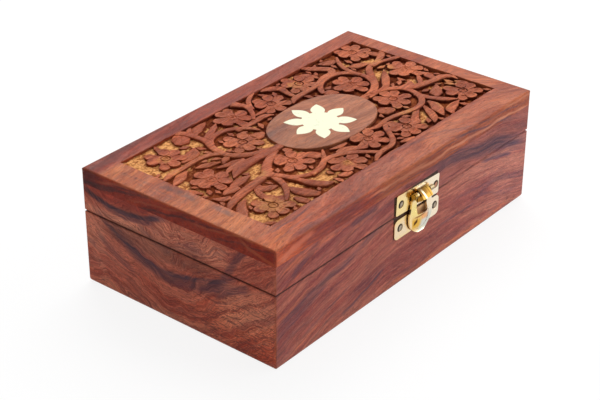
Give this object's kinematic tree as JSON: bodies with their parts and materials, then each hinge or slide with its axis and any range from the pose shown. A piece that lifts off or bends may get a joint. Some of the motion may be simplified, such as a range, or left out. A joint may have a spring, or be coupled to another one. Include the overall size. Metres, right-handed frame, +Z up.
{
  "type": "keepsake box",
  "caption": "Rectangular hardwood keepsake box with a hinged lid, floral relief carving, pale petalled inlay, velvet lining and a swinging brass catch.",
  "frame": {"origin": "middle of the underside, on the surface the box stands on", "axes": "+X to the right along the length, +Y to the back where the hinges are, +Z up; the catch is at -Y"},
  "size_m": [0.2, 0.1228, 0.0615],
  "materials": {
    "rosewood": "satin varnish",
    "inlay": "polished bone",
    "velvet": "velvet pile",
    "steel": "worn nickel-plated nails",
    "brass": "bright plated"
  },
  "bodies": {
    "base": {"base_front_wall": "rosewood", "base_right_wall": "rosewood", "base_back_wall": "rosewood", "base_left_wall": "rosewood", "base_floor_board": "rosewood", "base_velvet_pad": "velvet", "base_front_lining": "velvet", "base_right_lining": "velvet", "base_back_lining": "velvet", "base_left_lining": "velvet", "left_hinge_base_leaf": "brass", "right_hinge_base_leaf": "brass", "left_hinge_pin": "brass", "right_hinge_pin": "brass", "base_hinge_screws": "brass", "catch_lower_plate": "brass", "catch_lower_nails": "steel"},
    "lid": {"lid_front_wall": "rosewood", "lid_right_wall": "rosewood", "lid_back_wall": "rosewood", "lid_left_wall": "rosewood", "lid_top_board": "rosewood", "flower_inlay": "inlay", "lid_velvet_pad": "velvet", "left_hinge_lid_leaf": "brass", "right_hinge_lid_leaf": "brass", "lid_hinge_screws": "brass", "catch_upper_plate": "brass", "catch_upper_nails": "steel", "catch_pivot_pin": "brass"},
    "hasp": {"catch_hasp": "brass"}
  },
  "joints": [
    {"name": "lid_hinge", "type": "hinge", "parent": "base", "child": "lid", "pos_m": [0, 0.0574, 0.039], "axis": [-1, 0, 0], "range_deg": [0, 105]},
    {"name": "hasp_swing", "type": "hinge", "parent": "lid", "child": "hasp", "pos_m": [0.00459, -0.0603, 0.04545], "axis": [-0.999, 0, 0.0454], "range_deg": [0, 175]}
  ]
}
